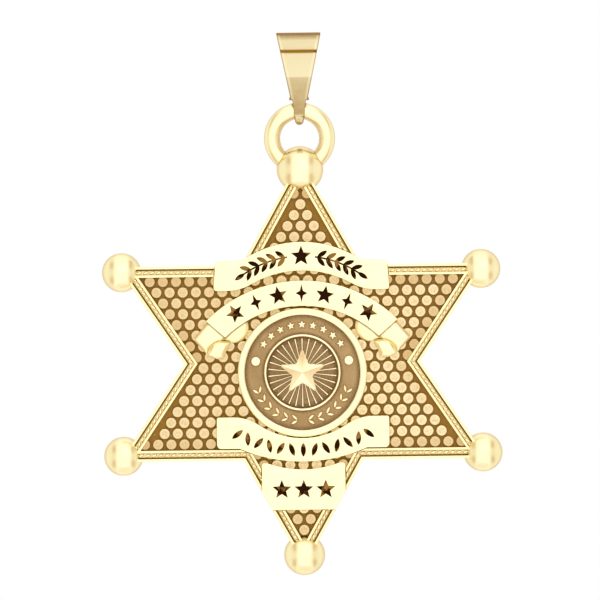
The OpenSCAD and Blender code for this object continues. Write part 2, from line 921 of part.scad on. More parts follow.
// The raised stars and leaf pairs of the seal's band, and its two side dots.
module seal_wreath() {
    r = (seal_d / 2 - seal_rim_w + inner_ring_d / 2) / 2;
    star_step = band_star_span / band_stars;
    star_half = (band_stars - 1) / 2;
    leaf_step = band_leaf_span / band_pairs;
    leaf_half = (band_pairs - 1) / 2;
    for (k = [-star_half : star_half])
        rotate(-k * star_step)
            translate([0, r])
                five_point(band_star_r);
    for (k = [-leaf_half : leaf_half])
        rotate(180 + k * leaf_step)
            translate([0, r]) {
                lean = k < 0 ? band_leaf_lean : 180 - band_leaf_lean;
                rotate(lean)
                    leaf(band_leaf_len, band_leaf_w);
                rotate(-lean)
                    leaf(band_leaf_len, band_leaf_w);
            }
    both_sides()
        translate([sqrt(r * r - side_dot_up * side_dot_up), side_dot_up])
            circle(side_dot_d / 2);
}

// Narrow rays round the faceted star.
module seal_rays() {
    outer = inner_ring_d / 2 - inner_ring_w - ray_gap;
    half = ray_w / 2;
    root = ray_root_w / 2;
    for (k = [0 : rays - 1])
        rotate(360 / rays * k)
            polygon([[-root, ray_in], [-half, outer], [half, outer], [root, ray_in]]);
}

// A star whose ten faces rise to one peak, standing on y = 0 and rising to -Y.
module peaked_star(r, h) {
    corners = [
        for (k = [0 : 9])
            let (reach = k % 2 == 0 ? r : star_waist * r)
                [reach * sin(36 * k), sink, reach * cos(36 * k)]
    ];
    polyhedron(
        points = concat(corners, [[0, -h, 0]]),
        faces = concat([[for (k = [9 : -1 : 0]) k]], [for (k = [0 : 9]) [k, (k + 1) % 10, 10]])
    );
}

module seal() {
    ground_y = field_y - seal_floor_h;
    color(antique_gold)
        translate([0, 0, star_z])
            union() {
                slab(back_y, field_y - under_gap - sink)
                    peg_discs("seal");
                slab(field_y - under_gap, ground_y)
                    seal_outline();
                translate([0, 0, -seal_low]) {
                    slab(ground_y + sink, field_y - seal_rim_h)
                        flat_ring(seal_d, seal_rim_w);
                    slab(ground_y + sink, ground_y - inner_ring_h)
                        flat_ring(inner_ring_d, inner_ring_w);
                    slab(ground_y + sink, ground_y - wreath_h)
                        seal_wreath();
                    slab(ground_y + sink, ground_y - ray_h)
                        seal_rays();
                    translate([0, ground_y, 0])
                        peaked_star(centre_star_r, centre_star_h);
                }
            }
}

bail();
star_plate();
upper_banner();
middle_banner();
lower_banner();
number_plate();
seal();
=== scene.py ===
import math

import bmesh
import bpy
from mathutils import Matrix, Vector
from mathutils.geometry import delaunay_2d_cdt


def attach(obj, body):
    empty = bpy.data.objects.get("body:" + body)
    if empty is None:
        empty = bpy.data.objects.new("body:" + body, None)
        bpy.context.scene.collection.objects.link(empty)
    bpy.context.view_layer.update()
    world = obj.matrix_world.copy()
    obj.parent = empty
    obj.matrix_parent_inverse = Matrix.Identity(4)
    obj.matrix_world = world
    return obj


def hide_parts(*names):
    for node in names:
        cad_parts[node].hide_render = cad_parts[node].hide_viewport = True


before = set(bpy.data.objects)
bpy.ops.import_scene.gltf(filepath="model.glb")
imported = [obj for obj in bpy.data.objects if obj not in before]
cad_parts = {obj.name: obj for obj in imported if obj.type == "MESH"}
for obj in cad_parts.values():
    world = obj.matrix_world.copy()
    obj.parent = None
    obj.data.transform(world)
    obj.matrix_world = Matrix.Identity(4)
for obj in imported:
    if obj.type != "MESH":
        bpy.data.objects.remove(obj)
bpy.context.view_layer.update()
mm = 0.001

# ----------------------------------------
# The bail: a strip of yellow gold folded over into a loop for the chain, with its tongue curled
# round the hanging ring. It is cast in one, filed to a taper and polished. Painted shade darkens it
# along its top, in and below the crease, along its filed edges and round the tongue, with a painted
# highlight on the tongue's rounded end.


def cast_shape(node):
    """A cast piece as a mesh in work, its loose triangles joined."""
    shape = bmesh.new()
    shape.from_mesh(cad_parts[node].data)
    bmesh.ops.remove_doubles(shape, verts=shape.verts, dist=1e-7)
    return shape


def join_flats(shape):
    """Makes one face of each flat part of a mesh in work."""
    bmesh.ops.dissolve_limit(shape, angle_limit=math.radians(0.4), verts=shape.verts, edges=shape.edges)


def face_outwards(shape):
    """Turns the faces of every closed part of a mesh in work outwards."""
    bmesh.ops.recalc_face_normals(shape, faces=shape.faces)
    shape.faces.ensure_lookup_table()
    shape.faces.index_update()
    left = set(range(len(shape.faces)))
    while left:
        part, onward = [], [min(left)]
        left.discard(onward[0])
        while onward:
            face = shape.faces[onward.pop()]
            part.append(face)
            for edge in face.edges:
                for other in edge.link_faces:
                    if other.index in left:
                        left.discard(other.index)
                        onward.append(other.index)
        volume = sum(
            face.verts[0].co.dot(a.co.cross(b.co))
            for face in part for a, b in zip(face.verts[1:-1], face.verts[2:])
        )
        if volume < 0:
            bmesh.ops.reverse_faces(shape, faces=part)


def placed(name, data):
    """A new object in the scene."""
    piece = bpy.data.objects.new(name, data)
    bpy.context.collection.objects.link(piece)
    return piece


def finished(name, shape, *finishes):
    """The object made from a mesh in work, faces outwards, smooth on rounds and crisp at corners."""
    face_outwards(shape)
    mesh = bpy.data.meshes.new(name)
    shape.to_mesh(mesh)
    shape.free()
    mesh.shade_smooth()
    mesh.set_sharp_from_angle(angle=math.radians(38))
    for finish in finishes:
        mesh.materials.append(finish)
    return placed(name, mesh)


def noise(tree, scale, detail):
    """Fine unevenness that stays with the metal."""
    place = tree.nodes.new("ShaderNodeTexCoord")
    node = tree.nodes.new("ShaderNodeTexNoise")
    node.inputs["Scale"].default_value = scale
    node.inputs["Detail"].default_value = detail
    tree.links.new(place.outputs["Object"], node.inputs["Vector"])
    return node.outputs["Fac"]


def marked(tree, name):
    """A value that the mesh keeps at each point."""
    node = tree.nodes.new("ShaderNodeAttribute")
    node.attribute_name = name
    return node.outputs["Fac"]


def stretched(tree, value, low, high, at_low=0.0, at_high=1.0, interpolation="LINEAR"):
    """A value taken from one range to another."""
    node = tree.nodes.new("ShaderNodeMapRange")
    node.interpolation_type = interpolation
    tree.links.new(value, node.inputs["Value"])
    for label, number in (("From Min", low), ("From Max", high), ("To Min", at_low), ("To Max", at_high)):
        node.inputs[label].default_value = number
    return node.outputs["Result"]


def product(tree, a, b):
    """Two shares taken together, at most 1."""
    node = tree.nodes.new("ShaderNodeMath")
    node.operation = "MULTIPLY"
    node.use_clamp = True
    tree.links.new(a, node.inputs[0])
    tree.links.new(b, node.inputs[1])
    return node.outputs["Value"]


def blend(tree, share, a, b, kind="RGBA"):
    """One colour, or one number, passing into another."""
    node = tree.nodes.new("ShaderNodeMix")
    node.data_type = kind
    for label, value in (("Factor", share), ("A", a), ("B", b)):
        if isinstance(value, bpy.types.NodeSocket):
            tree.links.new(value, node.inputs[label])
        else:
            node.inputs[label].default_value = (*value, 1) if kind == "RGBA" else value
    return node.outputs["Result"]


def new_finish(name):
    """A new material, with its nodes and the main one among them."""
    finish = bpy.data.materials.new(name)
    finish.use_nodes = True
    return finish, finish.node_tree, finish.node_tree.nodes["Principled BSDF"]


def gold(name, bright, cloudy, gloss, haze, grit, dent, dark, dull, clouds=420, uneven=0.3):
    """Worked gold: bright metal with cloudy patches and fine grit, blackened where its tarnish_and_shade mark
    says: real tarnish in hollows, and painted shade.
    """
    finish, tree, metal = new_finish(name)
    metal.inputs["Metallic"].default_value = 1
    body = blend(tree, stretched(tree, noise(tree, clouds, 3), 0.35, 0.68), bright, cloudy)

    # Blackening is uneven: the grain frets its edge.
    grain = noise(tree, grit, 4)
    # The mark holds both real tarnish and painted shade.
    black = product(tree, marked(tree, "tarnish_and_shade"), stretched(tree, grain, 0.3, 0.7, 1 - uneven, 1 + uneven))
    tree.links.new(blend(tree, black, body, dark), metal.inputs["Base Color"])
    sheen = stretched(tree, grain, 0.3, 0.7, gloss, haze)
    tree.links.new(blend(tree, black, sheen, dull, "FLOAT"), metal.inputs["Roughness"])

    bump = tree.nodes.new("ShaderNodeBump")
    bump.inputs["Strength"].default_value = dent
    bump.inputs["Distance"].default_value = 0.00001
    tree.links.new(grain, bump.inputs["Height"])
    tree.links.new(bump.outputs["Normal"], metal.inputs["Normal"])
    return finish


bail_gold = gold(
    "bail_gold", bright=(0.75, 0.665, 0.415), cloudy=(0.72, 0.63, 0.385),
    gloss=0.15, haze=0.19, grit=3600, dent=0.03, dark=(0.27, 0.14, 0.016), dull=0.36, clouds=260, uneven=0.07,
)

bail_edge = 0.07 * mm
crease_top = -0.88 * mm
crease_bottom = -0.97 * mm
crease_floor = -1.19 * mm
neck_z, neck_half, taper = -3.925, 0.53, 0.2095
strip_w, edge_shade_w = 0.2, 0.075
tongue_top, tongue_line_w, tongue_shade_w = -4.97, 0.045, 0.08
front_half = 0.15

# Heights down the front, each with how much painted shade the gold gets there.
bail_shades = [
    (0.37, 1.1), (0.2, 1.0), (0.12, 0.66), (-0.02, 0.38), (-0.2, 0.06), (-0.42, 0.12), (-0.76, 0.22),
    (-0.81, 1.1), (-0.97, 1.1), (-1.0, 0.4), (-1.08, 0.04), (-2.48, 0.0), (-2.58, 0.36), (-3.1, 0.46),
    (-4.0, 0.64), (-4.85, 0.74), (-4.97, 0.35), (-5.36, 0.1), (-5.45, 0.8), (-5.54, 0.9),
]


def tone_at(height, tones):
    """The value of a list of (height, value) pairs at a height, the heights running down."""
    for (high, above), (low, below) in zip(tones, tones[1:]):
        if height >= low:
            return above + (below - above) * min(1, max(0, (high - height) / (high - low)))
    return tones[-1][1]


def in_crease(v):
    """True for a point on the floor of the crease."""
    return crease_bottom - 1e-5 < v.co.z < crease_top + 1e-5 and v.co.y < crease_floor + 2e-5


def cut_across(shape, place, along):
    """New points all round a mesh in work, where a flat cut would meet it."""
    whole = shape.verts[:] + shape.edges[:] + shape.faces[:]
    bmesh.ops.bisect_plane(shape, geom=whole, dist=1e-8, plane_co=place, plane_no=along)


bail_shape = cast_shape("bail")
join_flats(bail_shape)
corners = [
    edge for edge in bail_shape.edges
    if len(edge.link_faces) == 2
    and edge.calc_face_angle() > math.radians(32)
    and not all(in_crease(v) for v in edge.verts)
]
bmesh.ops.bevel(
    bail_shape, geom=corners, offset=bail_edge, offset_type="OFFSET", segments=3, profile=0.6,
    affect="EDGES", clamp_overlap=False,
)
for height, tone in bail_shades[1:-1]:
    cut_across(bail_shape, (0, 0, height * mm), (0, 0, 1))
for side in (-1, 1):
    for inwards in (strip_w - 0.015, strip_w + 0.015):
        cut_across(bail_shape, (side * (neck_half - inwards) * mm, 0, neck_z * mm), (side, 0, -taper))
mark = bail_shape.verts.layers.float.new("tarnish_and_shade")
tongue_face = [
    f for f in bail_shape.faces
    if f.normal.y < -0.55 and all(v.co.z < (tongue_top + 0.001) * mm for v in f.verts)
]
bmesh.ops.inset_region(
    bail_shape, faces=tongue_face, thickness=tongue_line_w * mm, use_even_offset=True, use_boundary=True,
)
tongue = [
    (abs(v.co.x) / mm, v.co.z / mm) for v in bail_shape.verts
    if v.co.z < tongue_top * mm and v.co.y < front_half * mm
]
# Painted shade: by height down the front, darker towards the tongue's edges, and a darker line along the
# filed edges of the face.
for v in bail_shape.verts:
    x, z = abs(v.co.x) / mm, v.co.z / mm
    tone = tone_at(z, bail_shades)
    if z < tongue_top:
        half = max([tx for tx, tz in tongue if abs(tz - z) < 0.05], default=x)
        tone = max(tone, 1 - max(0, half - x) / tongue_shade_w)
    in_from_edge = neck_half + max(0, z - neck_z) * taper - x
    if z > neck_z and in_from_edge < strip_w and tone < 0.8:
        tone = 0.6 * tone + 0.6 * max(0, 1 - in_from_edge / edge_shade_w)
    elif z > neck_z and tone < 0.8:
        tone = tone + 0.1
    v[mark] = tone if v.co.y < front_half * mm else 0.3 * tone
bail = finished("folded_bail", bail_shape, bail_gold)
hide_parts("bail")
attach(bail, "bail")

# ----------------------------------------
# The star: one casting of yellow gold, with a flat back, a moulded rim of two bright lips beside
# a dark groove and a roped band, and a recessed field. The recesses are blackened and the high
# parts wiped clean. Each applied plate has its own seat in it, and holes for its two pegs.

star_z = -20.72
back_y = 0.56
field_y = -0.24
star_h, star_w, edge_h, notch_w, waist_w = 26.0, 23.4, 12.44, 7.6, 15.02
lip_w, groove_w, band_w = 0.17, 0.09, 0.27
rim_w = 2 * lip_w + groove_w + band_w
outer_lip_y, groove_y, band_y, inner_lip_y = -0.68, -0.34, -0.5, -0.7
rope_bed_y = band_y - 0.02
lip_slope, band_slope = 0.005, 0.03
seat_gap = 0.05
peg_hole_r = 0.43
shortest_side = 0.004
applied_pieces = {
    "upper_banner": [-1.1],
    "middle_banner": [-1.1, -0.94, -0.84, -0.72],
    "lower_banner": [-1.1],
    "number_plate": [-1.1],
    "seal": [-1.04],
}

struck_gold = gold(
    "struck_gold", bright=(0.95, 0.82, 0.48), cloudy=(0.92, 0.77, 0.42),
    gloss=0.2, haze=0.34, grit=6000, dent=0.16, dark=(0.33, 0.178, 0.034), dull=0.6,
)


def meeting(p, u, q, v):
    """Where the line through p along u meets the line through q along v."""
    w = q - p
    return p + u * ((w.x * v.y - w.y * v.x) / (u.x * v.y - u.y * v.x))


star_tip = Vector((0, star_h / 2))
star_notch = Vector((notch_w / 2, edge_h / 2))
star_side = Vector((star_w / 2, edge_h / 2))
star_waist = Vector((waist_w / 2, 0))
tip_slope = (star_notch - star_tip).normalized()
side_slope = (star_waist - star_side).normalized()


def star_corners(inset):
    """The star's twelve corners, with its edges moved inwards."""
    p = star_tip + inset * Vector((tip_slope.y, -tip_slope.x))
    q = star_notch - Vector((0, inset))
    r = star_side + inset * Vector((side_slope.y, -side_slope.x))
    level, upright = Vector((1, 0)), Vector((0, 1))
    a = meeting(p, tip_slope, Vector((0, 0)), upright)
    b = meeting(p, tip_slope, q, level)
    c = meeting(q, level, r, side_slope)
    e = meeting(r, side_slope, Vector((0, 0)), level)
    return [
        a, b, c, e, Vector((c.x, -c.y)), Vector((b.x, -b.y)),
        -a, -b, -c, -e, Vector((-c.x, c.y)), Vector((-b.x, b.y)),
    ]


def inset_at(x, z):
    """How far a place lies inside the star's edge, in the manner of the mitred rim."""
    q = Vector((abs(x), abs(z)))
    from_tip = (q - star_tip).dot(Vector((tip_slope.y, -tip_slope.x)))
    from_side = (q - star_side).dot(Vector((side_slope.y, -side_slope.x)))
    return max(from_tip, min(edge_h / 2 - q.y, from_side))


def face_outlines(node, depth):
    """The outlines of an applied piece's face at one depth, in mm from the star's centre, biggest first.

    The outer ones run anticlockwise as seen from the front, and those round a hole run clockwise.
    """
    shape = cast_shape(node)
    shape.faces.index_update()
    face = [
        f for f in shape.faces
        if f.normal.y < -0.999 and all(abs(v.co.y - depth * mm) < 2e-6 for v in f.verts)
    ]
    within = {f.index for f in face}
    onward = {}
    for f in face:
        for corner in f.loops:
            if not any(other.index in within for other in corner.edge.link_faces if other is not f):
                onward.setdefault(corner.vert, []).append(corner.link_loop_next.vert)
    outlines = []
    while onward:
        start = here = next(iter(onward))
        outline = []
        while here in onward:
            outline.append((here.co.x / mm, here.co.z / mm - star_z))
            following = onward[here].pop()
            if not onward[here]:
                del onward[here]
            here = following
        kept = []
        for point in outline:
            if not kept or math.dist(point, kept[-1]) > shortest_side:
                kept.append(point)
        if math.dist(kept[0], kept[-1]) < shortest_side:
            kept.pop()
        if len(kept) > 2:
            outlines.append(kept)
    shape.free()
    outlines.sort(key=lambda line: min(x for x, z in line) - max(x for x, z in line))
    return outlines


def sides_of(outline):
    """The sides of an outline, each as its two ends."""
    return list(zip(outline, outline[1:] + outline[:1]))


def turns_left(outline):
    """True for an outline that runs anticlockwise, as the outer edge of a face does."""
    return sum(a[0] * b[1] - b[0] * a[1] for a, b in sides_of(outline)) > 0


def inside(x, z, outline):
    """True where a place lies inside an outline."""
    within = False
    for (ax, az), (bx, bz) in sides_of(outline):
        if (az > z) != (bz > z) and x < (bx - ax) * (z - az) / (bz - az) + ax:
            within = not within
    return within


def grown(outline, by):
    """An outline moved outwards from the metal inside it, with its corners kept."""
    points = [Vector(p) for p in outline]
    moved = []
    for before, here, after in zip(points[-1:] + points[:-1], points, points[1:] + points[:1]):
        a = (here - before).normalized()
        b = (after - here).normalized()
        out = Vector((a.y + b.y, -a.x - b.x))
        if out.length < 1e-6:
            out = Vector((a.y, -a.x))
        moved.append(here + out * (by / max(out.length_squared / 2, 0.35)))
    return [tuple(p) for p in moved]


def crosses_itself(outline):
    """True where two sides of an outline cross."""
    sides = sides_of(outline)

    def turn(p, q, r):
        return (q[0] - p[0]) * (r[1] - p[1]) - (q[1] - p[1]) * (r[0] - p[0])

    for k, (a, b) in enumerate(sides):
        for n in range(k + 2, len(sides) - (k == 0)):
            c, e = sides[n]
            if turn(a, b, c) * turn(a, b, e) < 0 and turn(c, e, a) * turn(c, e, b) < 0:
                return True
    return False


def room_for(outline, by):
    """As much of an offset as the outline takes without crossing itself."""
    for share in (1, 0.85, 0.7, 0.55, 0.4, 0.25, 0.1):
        moved = grown(outline, by * share)
        if not crosses_itself(moved) and turns_left(moved) == turns_left(outline):
            return by * share
    return 0


def row_of(shape, outline, depth):
    """A ring of points at one depth, given in mm from the star's centre."""
    return [shape.verts.new((x * mm, depth * mm, (z + star_z) * mm)) for x, z in outline]


def join_rows(shape, *rows):
    """The strips of faces between rings of as many points."""
    for row, following in zip(rows, rows[1:]):
        for k in range(len(row)):
            n = (k + 1) % len(row)
            shape.faces.new((row[k], row[n], following[n], following[k]))


def close_rows(shape, rows, between=()):
    """A flat face that fills rings of points, holes left open, with any further points between them."""
    points = [v for row in rows for v in row] + list(between)
    flat = [Vector((v.co.x / mm, v.co.z / mm)) for v in points]
    outlines, sides, start = [], [], 0
    for row in rows:
        outlines.append(flat[start:start + len(row)])
        sides += sides_of(list(range(start, start + len(row))))
        start += len(row)
    spots, _, triangles, origins, _, _ = delaunay_2d_cdt(flat, sides, [], 1, 1e-6)
    depth = points[0].co.y
    ends = [
        points[origin[0]] if origin else shape.verts.new((spot.x * mm, depth, spot.y * mm))
        for spot, origin in zip(spots, origins)
    ]
    for triangle in triangles:
        x = sum(spots[k].x for k in triangle) / 3
        z = sum(spots[k].y for k in triangle) / 3
        if sum(inside(x, z, outline) for outline in outlines) % 2:
            shape.faces.new([ends[k] for k in triangle])


def circle_line(x, z, r, steps):
    """A circle as an outline."""
    return [
        (x + r * math.cos(2 * math.pi * k / steps), z + r * math.sin(2 * math.pi * k / steps))
        for k in range(steps)
    ]


def peg_places(node):
    """The middles of a piece's two pegs, found on its flat back."""
    places = []
    for side in (-1, 1):
        ends = [
            v.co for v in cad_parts[node].data.vertices
            if abs(v.co.y - back_y * mm) < 2e-6 and v.co.x * side > 0
        ]
        x = (min(p.x for p in ends) + max(p.x for p in ends)) / 2 / mm
        z = (min(p.z for p in ends) + max(p.z for p in ends)) / 2 / mm - star_z
        places.append((x, z))
    return places


def lip_rows(start, top):
    """The flat-topped round of a lip that starts at an inset: insets and depths."""
    half = [(0, 0.045), (0.008, 0.018), (0.026, 0.004), (0.05, 0)]
    over = [(start + inset, top + drop) for inset, drop in half]
    return over + [(start + lip_w - inset, top + drop) for inset, drop in reversed(half)]


seat_lines = []
for node, depths in applied_pieces.items():
    for depth in depths:
        seat_lines += [line for line in face_outlines(node, depth) if turns_left(line) and len(line) > 3]
seat_lines = [line for line in seat_lines if max(math.dist(p, line[0]) for p in line) > 0.6]

rim_rows = [(0.05, back_y), (0.015, back_y - 0.015), (0, back_y - 0.05)]
rim_rows += lip_rows(0, outer_lip_y)
rim_rows += [
    (lip_w + lip_slope, groove_y), (lip_w + groove_w - lip_slope, groove_y), (lip_w + groove_w, band_y),
    (lip_w + groove_w + band_slope, rope_bed_y), (rim_w - lip_w - band_slope, rope_bed_y),
]
rim_rows += lip_rows(rim_w - lip_w, inner_lip_y)
rim_rows += [(rim_w, field_y)]

plate_shape = bmesh.new()
rows = [row_of(plate_shape, star_corners(inset), depth) for inset, depth in rim_rows]
join_rows(plate_shape, *rows)
close_rows(plate_shape, [rows[0]])
close_rows(plate_shape, [rows[-1]])
plate = finished("star_plate_and_rim", plate_shape, struck_gold)

# The seats are cut through the rim, down to the field, and the peg holes are drilled right through.
past_folds, seat_floor, over_rim, past_back = 2.3, field_y - 0.004, -1.3, back_y + 0.3
through_rim = [line for line in seat_lines if max(abs(x) for x, z in line) > past_folds]
cuts = [(grown(line, seat_gap), seat_floor) for line in through_rim]
for node in applied_pieces:
    cuts += [(circle_line(x, z, peg_hole_r, 32), past_back) for x, z in peg_places(node)]


def applied(piece):
    """The mesh of an object with its modifiers carried out."""
    return bpy.data.meshes.new_from_object(piece.evaluated_get(bpy.context.evaluated_depsgraph_get()))


for line, lowest in cuts:
    cutter = bmesh.new()
    low = row_of(cutter, line, lowest)
    high = row_of(cutter, line, over_rim)
    join_rows(cutter, low, high)
    close_rows(cutter, [low])
    close_rows(cutter, [high])
    tool = finished("cutter", cutter)
    cut = plate.modifiers.new("cut", "BOOLEAN")
    cut.operation = "DIFFERENCE"
    cut.solver = "EXACT"
    cut.object = tool
    carved = applied(plate)
    plate.modifiers.remove(cut)
    plate.data = carved
    bpy.data.objects.remove(tool)
plate_shape = bmesh.new()
plate_shape.from_mesh(plate.data)
bmesh.ops.dissolve_degenerate(plate_shape, edges=plate_shape.edges, dist=1e-7)
join_flats(plate_shape)
bmesh.ops.triangulate(plate_shape, faces=[f for f in plate_shape.faces if len(f.verts) > 4])
bpy.data.objects.remove(plate)
plate = finished("star_plate_and_rim", plate_shape, struck_gold)

# Blackening lies in the groove, under the roped band and down the inner wall to the field.
near = 0.02
wall_tone, groove_tone, rope_tone = 1.25, 1.3, 0.4
plate.data.attributes.new("tarnish_and_shade", "FLOAT", "POINT")
for v, spot in zip(plate.data.vertices, plate.data.attributes["tarnish_and_shade"].data):
    inset = inset_at(v.co.x / mm, v.co.z / mm - star_z)
    depth = v.co.y / mm
    if depth > back_y - 0.1 or inset < lip_w - near / 2:
        spot.value = 0
    elif inset > rim_w - near:
        spot.value = wall_tone * min(1, max(0, (depth - inner_lip_y - 0.1) / 0.2))
    elif depth > groove_y - near:
        spot.value = groove_tone
    elif lip_w + groove_w - near < inset < rim_w - lip_w:
        spot.value = rope_tone
    else:
        spot.value = 0
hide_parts("star_plate")
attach(plate, "star")

# ----------------------------------------
# The dots: rows of low round studs that stand on the blackened field, set like a honeycomb. They
# are cast with the plate, bright round their shoulders and grainy on top.


def set_out(name, places, stamp, finish, smallest=1.0, largest=1.0, seed=1):
    """Many like parts of one casting: the stamp stands at each place, turned and varied a little.

    places are (x, depth, z, turn, shade) in mm from the star's centre, the turn anticlockwise.
    """
    bed = bpy.data.meshes.new(name)
    bed.from_pydata([(x * mm, depth * mm, (z + star_z) * mm) for x, depth, z, turn, shade in places], [], [])
    bed.attributes.new("turn", "FLOAT", "POINT").data.foreach_set("value", [-p[3] for p in places])
    bed.attributes.new("shade", "FLOAT", "POINT").data.foreach_set("value", [p[4] for p in places])
    piece = placed(name, bed)

    tree = bpy.data.node_groups.new(name + "_setting", "GeometryNodeTree")
    tree.interface.new_socket("Geometry", in_out="INPUT", socket_type="NodeSocketGeometry")
    sockets = {
        label: tree.interface.new_socket(label, in_out="INPUT", socket_type=kind)
        for label, kind in (
            ("Stamp", "NodeSocketObject"), ("Smallest", "NodeSocketFloat"), ("Largest", "NodeSocketFloat"),
            ("Seed", "NodeSocketInt"), ("Finish", "NodeSocketMaterial"),
        )
    }
    tree.interface.new_socket("Geometry", in_out="OUTPUT", socket_type="NodeSocketGeometry")
    nodes, links = tree.nodes, tree.links
    given = nodes.new("NodeGroupInput")
    made = nodes.new("NodeGroupOutput")
    stamp_info = nodes.new("GeometryNodeObjectInfo")
    turn = nodes.new("GeometryNodeInputNamedAttribute")
    turn.data_type = "FLOAT"
    turn.inputs["Name"].default_value = "turn"
    about_y = nodes.new("ShaderNodeCombineXYZ")
    rotation = nodes.new("FunctionNodeEulerToRotation")
    vary = nodes.new("FunctionNodeRandomValue")
    vary.data_type = "FLOAT"
    setting = nodes.new("GeometryNodeInstanceOnPoints")
    whole = nodes.new("GeometryNodeRealizeInstances")
    coat = nodes.new("GeometryNodeSetMaterial")
    links.new(given.outputs["Stamp"], stamp_info.inputs["Object"])
    links.new(turn.outputs["Attribute"], about_y.inputs["Y"])
    links.new(about_y.outputs["Vector"], rotation.inputs["Euler"])
    vary_floats = [s for s in vary.inputs if s.type == "VALUE" and s.name in ("Min", "Max")]
    links.new(given.outputs["Smallest"], vary_floats[0])
    links.new(given.outputs["Largest"], vary_floats[1])
    links.new(given.outputs["Seed"], vary.inputs["Seed"])
    links.new(given.outputs["Geometry"], setting.inputs["Points"])
    links.new(stamp_info.outputs["Geometry"], setting.inputs["Instance"])
    links.new(rotation.outputs["Rotation"], setting.inputs["Rotation"])
    links.new([s for s in vary.outputs if s.type == "VALUE" and s.enabled][0], setting.inputs["Scale"])
    links.new(setting.outputs["Instances"], whole.inputs["Geometry"])
    links.new(whole.outputs["Geometry"], coat.inputs["Geometry"])
    links.new(given.outputs["Finish"], coat.inputs["Material"])
    links.new(coat.outputs["Geometry"], made.inputs["Geometry"])

    setting_out = piece.modifiers.new("setting", "NODES")
    setting_out.node_group = tree
    setting_out[sockets["Stamp"].identifier] = stamp
    setting_out[sockets["Smallest"].identifier] = smallest
    setting_out[sockets["Largest"].identifier] = largest
    setting_out[sockets["Seed"].identifier] = seed
    setting_out[sockets["Finish"].identifier] = finish
    mesh = applied(piece)
    piece.modifiers.remove(setting_out)
    piece.data = mesh
    mesh.shade_smooth()
    mesh.set_sharp_from_angle(angle=math.radians(50))
    bpy.data.objects.remove(stamp)
    return piece


def covered(x, z, r):
    """True where the applied plates hide all of a small round part."""
    return all(
        any(inside(px, pz, line) for line in seat_lines)
        for px, pz in [(x, z)] + circle_line(x, z, r, 8)
    )


def fan(shape, ring, tip):
    """The faces from a ring of points to one point."""
    for k in range(len(ring)):
        shape.faces.new((tip, ring[k], ring[(k + 1) % len(ring)]))


def raised_stamp(name, outline, rings, middle=0.0, peak=None):
    """A small raised part seen from the front, closed behind, and in front by a flat top or up to a peak.

    rings are (share of the outline, height, tarnish), with grain as a fourth where it has any.
    """
    shape = bmesh.new()
    dark = shape.verts.layers.float.new("tarnish_and_shade")
    grainy = shape.verts.layers.float.new("grain") if len(rings[0]) > 3 else None
    rows = []
    for share, height, tarnish_and_shade, *grain in rings:
        row = [
            shape.verts.new(((middle + (x - middle) * share) * mm, -height * mm, z * share * mm))
            for x, z in outline
        ]
        for v in row:
            v[dark] = tarnish_and_shade
            if grainy:
                v[grainy] = grain[0]
        rows.append(row)
    join_rows(shape, *rows)
    if peak is None:
        shape.faces.new(rows[-1])
    else:
        fan(shape, rows[-1], shape.verts.new((middle * mm, -peak * mm, 0)))
    shape.faces.new(list(reversed(rows[0])))
    return finished(name, shape)


dot_d, dot_h, dot_pitch, row_pitch, row_rise = 0.67, 0.28, 0.842, 0.693, 0.4

# The studs' tops keep a sandy grain that the brighter shoulders have lost. Painted shade darkens them
# close to the rim, and towards the upper left.
dot_gold = gold(
    "dot_gold", bright=(0.84, 0.69, 0.42), cloudy=(0.8, 0.64, 0.37),
    gloss=0.34, haze=0.52, grit=9000, dent=0.35, dark=(0.13, 0.06, 0.012), dull=0.6, clouds=260,
)
tree = dot_gold.node_tree
metal = tree.nodes["Principled BSDF"]
plain = metal.inputs["Base Color"].links[0].from_socket
sand = stretched(tree, noise(tree, 11000, 2), 0.36, 0.62, 0.95, 0.1)
sanded = blend(tree, product(tree, marked(tree, "grain"), sand), plain, (0.62, 0.46, 0.24))
shaded = blend(tree, marked(tree, "shade"), sanded, (0.5, 0.32, 0.12))
tree.links.new(shaded, metal.inputs["Base Color"])

dot_places = []
rows_up = math.ceil(star_h / 2 / row_pitch)
columns_out = math.ceil(star_w / 2 / dot_pitch)
for row in range(-rows_up, rows_up + 1):
    for column in range(-columns_out, columns_out + 1):
        x = (column + (0 if row % 2 == 0 else 0.5)) * dot_pitch
        z = row_rise + row * row_pitch
        room = inset_at(x, z) - rim_w
        if room > 0 and not covered(x, z, dot_d / 2):
            # Painted shade: the rim's shadow on the studs beside it, and one side of the field lit less.
            rim_shade = 0.75 * max(0, min(1, 1.3 - room / 0.55))
            side_shade = 0.36 * max(0, min(1, 0.45 - x / 18 + min(z, 3) / 16))
            dot_places.append((x, field_y, z, 0, max(rim_shade, side_shade)))
# Radius, height, tarnish and grain of a stud, from its foot up.
dot_rings = [
    (0.352, -0.02, 1, 0), (0.35, 0.2, 0.45, 0), (0.343, 0.24, 0.05, 0), (0.325, 0.262, 0, 0),
    (0.295, 0.273, 0, 0), (0.25, 0.278, 0, 0.15), (0.19, dot_h, 0, 1),
]
dot_stamp = raised_stamp("stud", circle_line(0, 0, 1, 18), dot_rings)
dots = set_out("field_dots", dot_places, dot_stamp, dot_gold, smallest=0.985, largest=1.0, seed=7)
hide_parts("star_plate")
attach(dots, "star")

# ----------------------------------------
# The roped band: a row of slanting strands like twisted wire, cut into the casting between the
# dark groove and the inner lip.

strand_len, strand_w, strand_h = 0.4, 0.17, 0.1
level_pitch, slant_pitch = 0.42, 0.35
strand_lean = math.radians(24)
rope_inset = lip_w + groove_w + band_w / 2

